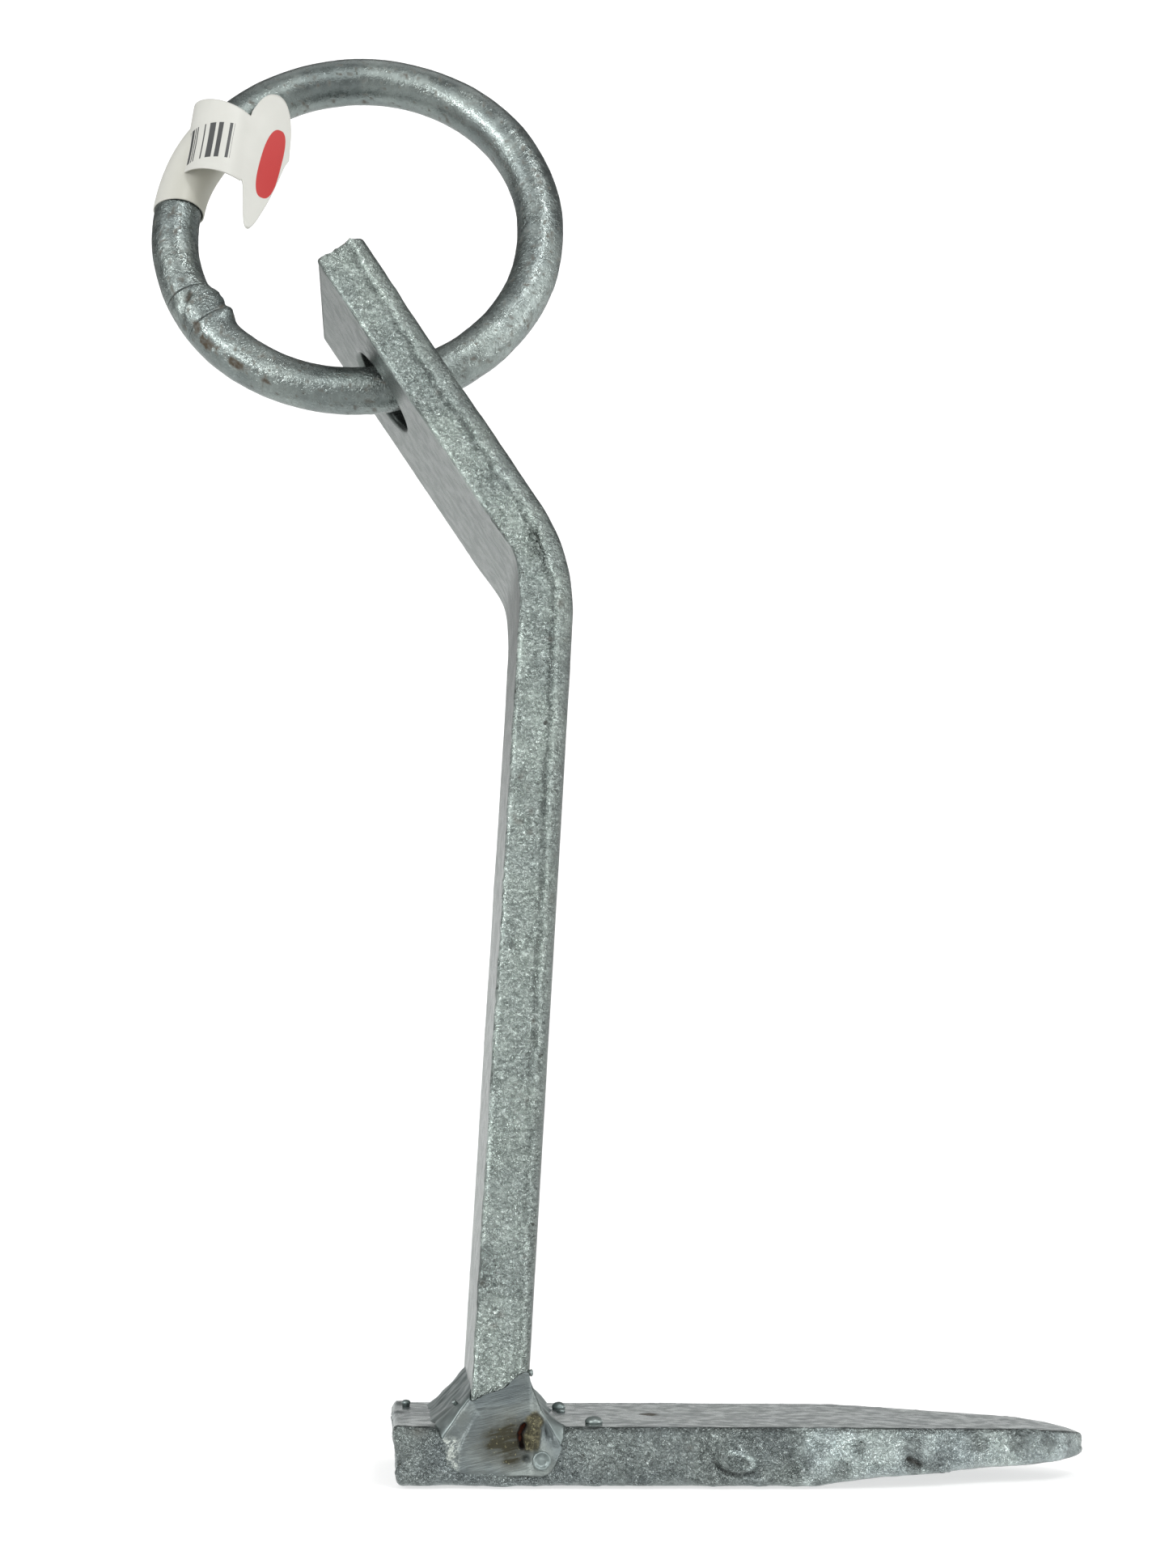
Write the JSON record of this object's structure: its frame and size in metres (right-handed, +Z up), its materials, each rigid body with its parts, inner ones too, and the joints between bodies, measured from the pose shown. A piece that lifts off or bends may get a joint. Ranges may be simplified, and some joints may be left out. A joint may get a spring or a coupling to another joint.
{
  "type": "boat anchor",
  "caption": "Hot-dip galvanised L-shaped rock and ground mooring anchor: a flat driving spike with a hammer heel, a bent flat-bar shank welded on top, and a loose mooring ring.",
  "frame": {"origin": "on the flat sole of the spike, under the middle of the shank's foot", "axes": "+Z up from the sole towards the ring, +X towards the spike's point, Y across the flat bars"},
  "size_m": [0.2172, 0.0516, 0.3349],
  "materials": {
    "spike_zinc": "hot-dip galvanised, satin, pebbled on the narrow faces",
    "shank_zinc": "hot-dip galvanised, smooth and dull on the wide faces",
    "weld_zinc": "hot-dip galvanised weld beads, smooth",
    "cap_zinc": "weld ground flush, galvanised, with a rust stain",
    "ring_zinc": "hot-dip galvanised round bar, brighter where it rubs",
    "label_paper": null
  },
  "bodies": {
    "anchor": {"spike": "spike_zinc", "shank": "shank_zinc", "heel_side_weld": "weld_zinc", "point_side_weld": "weld_zinc", "front_weld": "cap_zinc", "rear_weld": "cap_zinc", "weld_spatter": "weld_zinc"},
    "ring": {"mooring_ring": "ring_zinc", "ring_butt_weld": "ring_zinc", "price_label": "label_paper"}
  },
  "joints": [
    {"name": "ring_swing", "type": "hinge", "parent": "anchor", "child": "ring", "pos_m": [-0.02531, 0, 0.24646], "axis": [0.8241, 0, 0.5664], "range_deg": [-140, 155]}
  ]
}
